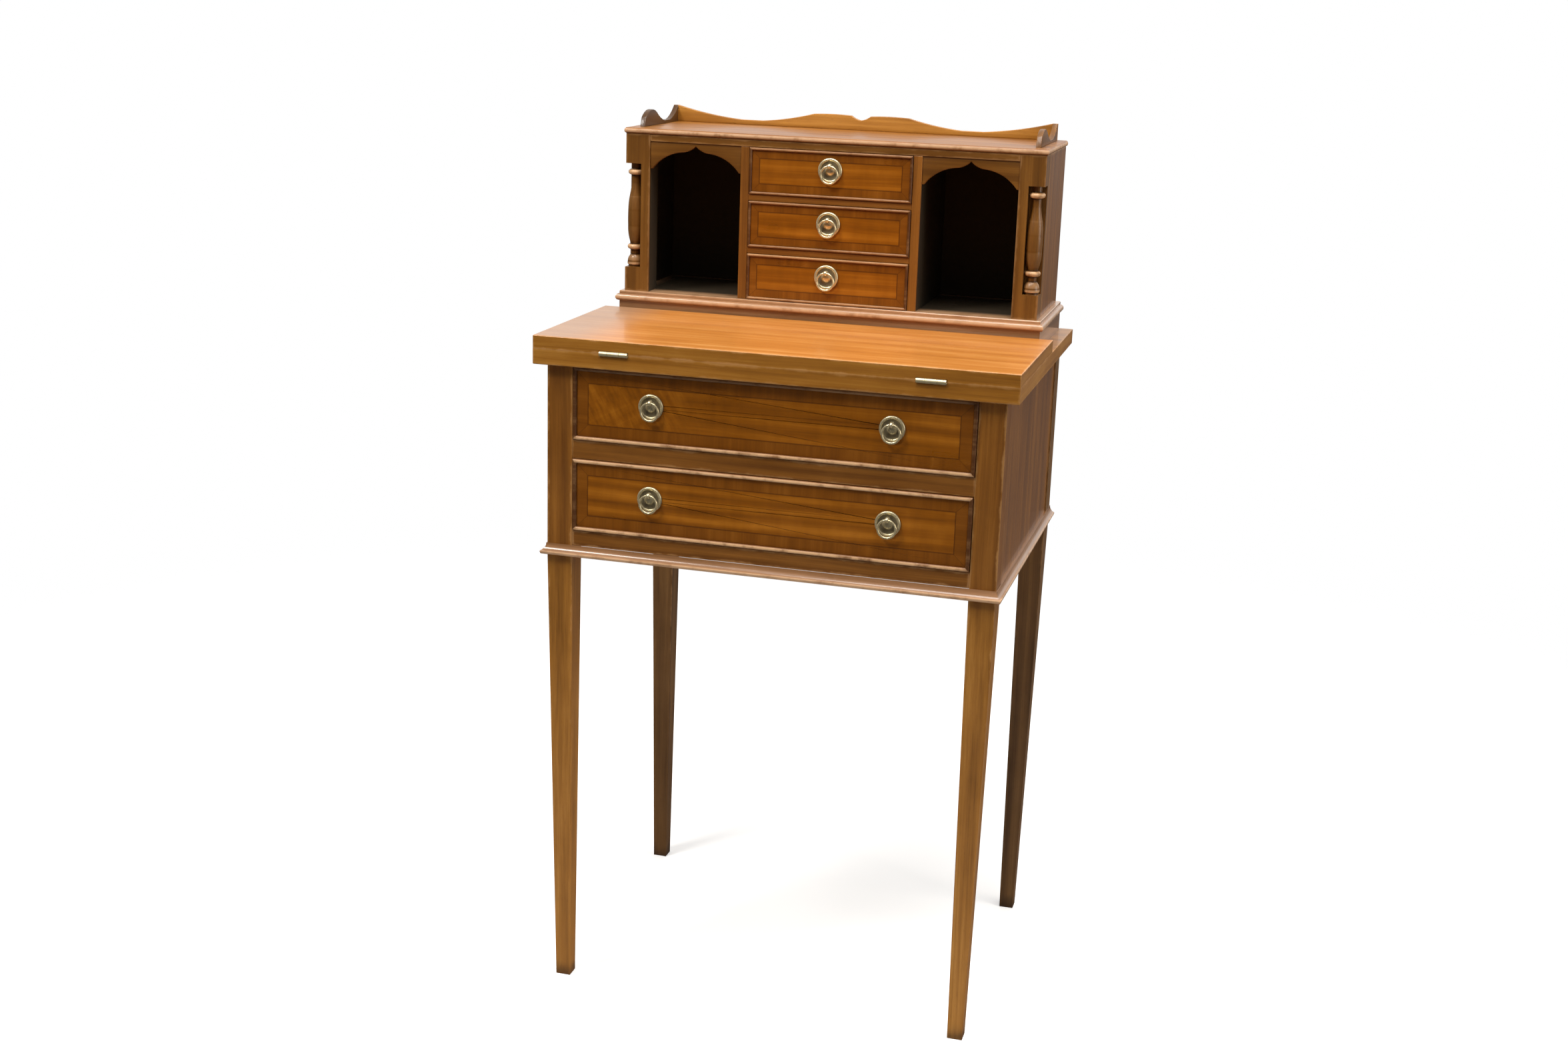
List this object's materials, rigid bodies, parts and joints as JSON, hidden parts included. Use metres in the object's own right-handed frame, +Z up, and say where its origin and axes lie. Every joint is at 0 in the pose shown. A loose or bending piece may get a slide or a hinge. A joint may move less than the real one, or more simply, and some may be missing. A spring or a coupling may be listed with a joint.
{
  "type": "bonheur du jour",
  "caption": "Small writing desk on tapered legs with drawers, a folding writing flap and an arched superstructure.",
  "frame": {"origin": "on the floor at the middle of the desk's footprint", "axes": "+Z up; the desk's front faces -Y, so +X is to the right of someone who faces its front"},
  "size_m": [0.528, 0.3948, 0.9855],
  "materials": {
    "case_wood": "french polished mahogany",
    "flap_veneer": "french polished veneer, worn",
    "drawer_veneer": "french polished figured veneer with crossbanding",
    "moulding_wood": "polished moulding",
    "lining_wood": "bare oak, darkened",
    "backboard_wood": "bare softwood, stained dark",
    "brass": "aged brass"
  },
  "bodies": {
    "desk": {"base_moulding": "moulding_wood", "bottom_rail": "case_wood", "case_back": "backboard_wood", "corner_column_left": "case_wood", "corner_column_right": "case_wood", "drawer_runners": "lining_wood", "dust_boards": "backboard_wood", "end_panel_left": "case_wood", "end_panel_right": "case_wood", "fret_arches": "case_wood", "front_stiles": "case_wood", "gallery_back": "case_wood", "gallery_returns": "case_wood", "hinge_halves_on_bed": "brass", "lintel": "case_wood", "middle_rail": "case_wood", "partitions": "case_wood", "plinth": "case_wood", "post_back_left": "case_wood", "post_back_right": "case_wood", "post_front_left": "case_wood", "post_front_right": "case_wood", "side_panel_left": "case_wood", "side_panel_right": "case_wood", "top_board": "case_wood", "upper_back_panel": "backboard_wood", "writing_bed": "flap_veneer"},
    "flap": {"writing_leaf": "flap_veneer", "hinge_halves_on_leaf": "brass"},
    "upper_drawer": {"upper_drawer_front": "drawer_veneer", "upper_drawer_cockbead": "moulding_wood", "upper_drawer_sides": "lining_wood", "upper_drawer_back": "lining_wood", "upper_drawer_bottom": "lining_wood", "upper_drawer_pull_roses": "brass"},
    "upper_drawer_ring_left": {"upper_drawer_ring_left": "brass"},
    "upper_drawer_ring_right": {"upper_drawer_ring_right": "brass"},
    "lower_drawer": {"lower_drawer_front": "drawer_veneer", "lower_drawer_cockbead": "moulding_wood", "lower_drawer_sides": "lining_wood", "lower_drawer_back": "lining_wood", "lower_drawer_bottom": "lining_wood", "lower_drawer_pull_roses": "brass"},
    "lower_drawer_ring_left": {"lower_drawer_ring_left": "brass"},
    "lower_drawer_ring_right": {"lower_drawer_ring_right": "brass"},
    "small_drawer_top": {"small_drawer_top_front": "drawer_veneer", "small_drawer_top_cockbead": "moulding_wood", "small_drawer_top_box": "lining_wood", "small_drawer_top_pull_rose": "brass"},
    "small_drawer_top_ring": {"small_drawer_top_ring": "brass"},
    "small_drawer_middle": {"small_drawer_middle_front": "drawer_veneer", "small_drawer_middle_cockbead": "moulding_wood", "small_drawer_middle_box": "lining_wood", "small_drawer_middle_pull_rose": "brass"},
    "small_drawer_middle_ring": {"small_drawer_middle_ring": "brass"},
    "small_drawer_bottom": {"small_drawer_bottom_front": "drawer_veneer", "small_drawer_bottom_cockbead": "moulding_wood", "small_drawer_bottom_box": "lining_wood", "small_drawer_bottom_pull_rose": "brass"},
    "small_drawer_bottom_ring": {"small_drawer_bottom_ring": "brass"}
  },
  "joints": [
    {"name": "flap_hinge", "type": "hinge", "parent": "desk", "child": "flap", "pos_m": [0, -0.19478, 0.7455], "axis": [1, 0, 0], "range_deg": [0, 180]},
    {"name": "upper_drawer_slide", "type": "slide", "parent": "desk", "child": "upper_drawer", "axis": [0, -1, 0], "range_m": [0, 0.26]},
    {"name": "upper_drawer_ring_left_swing", "type": "hinge", "parent": "upper_drawer", "child": "upper_drawer_ring_left", "pos_m": [-0.132, -0.19103, 0.6955], "axis": [-1, 0, 0], "range_deg": [0, 170]},
    {"name": "upper_drawer_ring_right_swing", "type": "hinge", "parent": "upper_drawer", "child": "upper_drawer_ring_right", "pos_m": [0.132, -0.19103, 0.6955], "axis": [-1, 0, 0], "range_deg": [0, 170]},
    {"name": "lower_drawer_slide", "type": "slide", "parent": "desk", "child": "lower_drawer", "axis": [0, -1, 0], "range_m": [0, 0.26]},
    {"name": "lower_drawer_ring_left_swing", "type": "hinge", "parent": "lower_drawer", "child": "lower_drawer_ring_left", "pos_m": [-0.132, -0.19103, 0.5936], "axis": [-1, 0, 0], "range_deg": [0, 170]},
    {"name": "lower_drawer_ring_right_swing", "type": "hinge", "parent": "lower_drawer", "child": "lower_drawer_ring_right", "pos_m": [0.132, -0.19103, 0.5936], "axis": [-1, 0, 0], "range_deg": [0, 170]},
    {"name": "small_drawer_top_slide", "type": "slide", "parent": "desk", "child": "small_drawer_top", "axis": [0, -1, 0], "range_m": [0, 0.09]},
    {"name": "small_drawer_top_ring_swing", "type": "hinge", "parent": "small_drawer_top", "child": "small_drawer_top_ring", "pos_m": [0, 0.02977, 0.93542], "axis": [-1, 0, 0], "range_deg": [0, 170]},
    {"name": "small_drawer_middle_slide", "type": "slide", "parent": "desk", "child": "small_drawer_middle", "axis": [0, -1, 0], "range_m": [0, 0.09]},
    {"name": "small_drawer_middle_ring_swing", "type": "hinge", "parent": "small_drawer_middle", "child": "small_drawer_middle_ring", "pos_m": [0, 0.02977, 0.87525], "axis": [-1, 0, 0], "range_deg": [0, 170]},
    {"name": "small_drawer_bottom_slide", "type": "slide", "parent": "desk", "child": "small_drawer_bottom", "axis": [0, -1, 0], "range_m": [0, 0.09]},
    {"name": "small_drawer_bottom_ring_swing", "type": "hinge", "parent": "small_drawer_bottom", "child": "small_drawer_bottom_ring", "pos_m": [0, 0.02977, 0.81508], "axis": [-1, 0, 0], "range_deg": [0, 170]}
  ]
}
